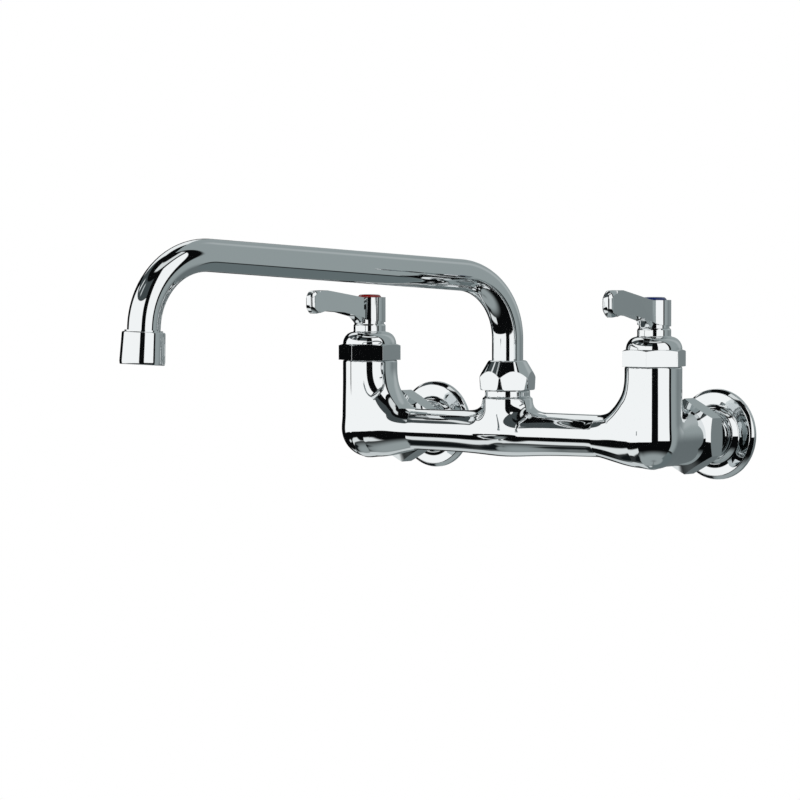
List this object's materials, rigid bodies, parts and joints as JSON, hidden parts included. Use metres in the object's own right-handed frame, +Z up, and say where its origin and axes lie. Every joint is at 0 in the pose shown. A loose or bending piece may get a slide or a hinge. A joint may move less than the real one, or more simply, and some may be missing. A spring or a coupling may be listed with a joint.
{
  "type": "commercial wall faucet",
  "caption": "Wall-mounted mixing faucet with a cast crossbar body, lever handles, wall unions and a swinging bent-tube spout with an aerator.",
  "frame": {"origin": "midway between the two inlets, on the wall plane that the flanges rest on", "axes": "+X to the right of a person who faces the faucet, +Y into the wall, +Z up; the hot side is at -X"},
  "size_m": [0.2552, 0.3223, 0.1376],
  "materials": {
    "cast_chrome": "polished, chrome-plated brass casting",
    "chrome": "polished chrome plate",
    "brass": "machined",
    "rubber": "matt",
    "ceramic": "lapped ceramic",
    "slip_plastic": "moulded acetal",
    "stainless": "plain",
    "red_index": "gloss",
    "blue_index": "gloss"
  },
  "bodies": {
    "faucet_base": {"faucet_body": "cast_chrome", "hot_inlet_shank": "chrome", "cold_inlet_shank": "chrome", "hot_coupling_nut": "chrome", "cold_coupling_nut": "chrome", "hot_union_washer": "rubber", "cold_union_washer": "rubber", "hot_wall_flange": "chrome", "cold_wall_flange": "chrome", "hot_bonnet_nut": "chrome", "cold_bonnet_nut": "chrome", "hot_cartridge_housing": "brass", "cold_cartridge_housing": "brass", "hot_seat_gasket": "rubber", "cold_seat_gasket": "rubber", "hot_fixed_disc": "ceramic", "cold_fixed_disc": "ceramic", "hot_thrust_washer": "slip_plastic", "cold_thrust_washer": "slip_plastic", "spout_nut": "chrome", "spout_glide_washer": "slip_plastic", "spout_glide_ring": "slip_plastic"},
    "hot_handle": {"hot_turning_disc": "ceramic", "hot_valve_stem": "brass", "hot_stem_o_rings": "rubber", "hot_stem_clip": "stainless", "hot_lever_handle": "chrome", "hot_handle_screw": "stainless", "hot_index_button": "red_index"},
    "cold_handle": {"cold_turning_disc": "ceramic", "cold_valve_stem": "brass", "cold_stem_o_rings": "rubber", "cold_stem_clip": "stainless", "cold_lever_handle": "chrome", "cold_handle_screw": "stainless", "cold_index_button": "blue_index"},
    "spout": {"spout_tube": "chrome", "spout_ferrule": "brass", "spout_o_rings": "rubber", "outlet_adapter": "chrome", "aerator_housing": "chrome", "aerator_insert": "slip_plastic", "aerator_screen": "stainless", "aerator_washer": "rubber"}
  },
  "joints": [
    {"name": "spout_swivel", "type": "hinge", "parent": "faucet_base", "child": "spout", "pos_m": [0, -0.066, 0.03], "axis": [0, 0, 1], "range_deg": [-80.6, 109.4]},
    {"name": "hot_handle_turn", "type": "hinge", "parent": "faucet_base", "child": "hot_handle", "pos_m": [-0.1016, -0.066, 0.05], "axis": [0, 0, 1], "range_deg": [-83.7, 6.3]},
    {"name": "cold_handle_turn", "type": "hinge", "parent": "faucet_base", "child": "cold_handle", "pos_m": [0.1016, -0.066, 0.05], "axis": [0, 0, 1], "range_deg": [-2.5, 87.5]}
  ]
}
